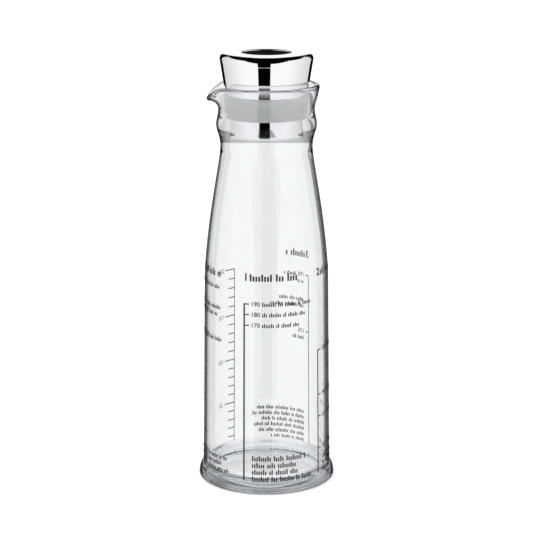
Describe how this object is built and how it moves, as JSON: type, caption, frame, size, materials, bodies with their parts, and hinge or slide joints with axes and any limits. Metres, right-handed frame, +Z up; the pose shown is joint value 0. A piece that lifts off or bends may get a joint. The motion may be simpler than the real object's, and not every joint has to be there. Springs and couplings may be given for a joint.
{
  "type": "salad dressing shaker bottle",
  "caption": "Tapered glass dressing shaker with a bent pouring lip, closed by a polished steel stopper whose translucent seal ring fills the neck.",
  "frame": {"origin": "centre of the ring that the bottle stands on", "axes": "+Z up along the bottle; the lip pours towards -X; the picture looks along +Y"},
  "size_m": [0.0636, 0.0636, 0.2],
  "materials": {
    "clear_glass": "clear, fire-polished",
    "silicone": "translucent, satin",
    "polished_steel": "mirror polished",
    "black_plastic": "matt",
    "core_plastic": "as moulded",
    "screw_steel": "plain",
    "brass": "machined"
  },
  "bodies": {
    "bottle": {"glass_bottle": "clear_glass"},
    "seal": {"seal_ring": "silicone"},
    "stopper": {"cap_shell": "polished_steel", "recess_liner": "black_plastic", "upper_core": "core_plastic", "lower_cup": "polished_steel", "lower_core": "core_plastic", "tie_screw": "screw_steel", "screw_washer": "screw_steel", "threaded_insert": "brass"}
  },
  "joints": [
    {"name": "stopper_lift", "type": "slide", "parent": "bottle", "child": "seal", "axis": [0, 0, 1], "range_m": [0, 0.04]},
    {"name": "stopper_turn", "type": "hinge", "parent": "seal", "child": "stopper", "pos_m": [0, 0, 0.1756], "axis": [0, 0, 1], "continuous": true}
  ]
}
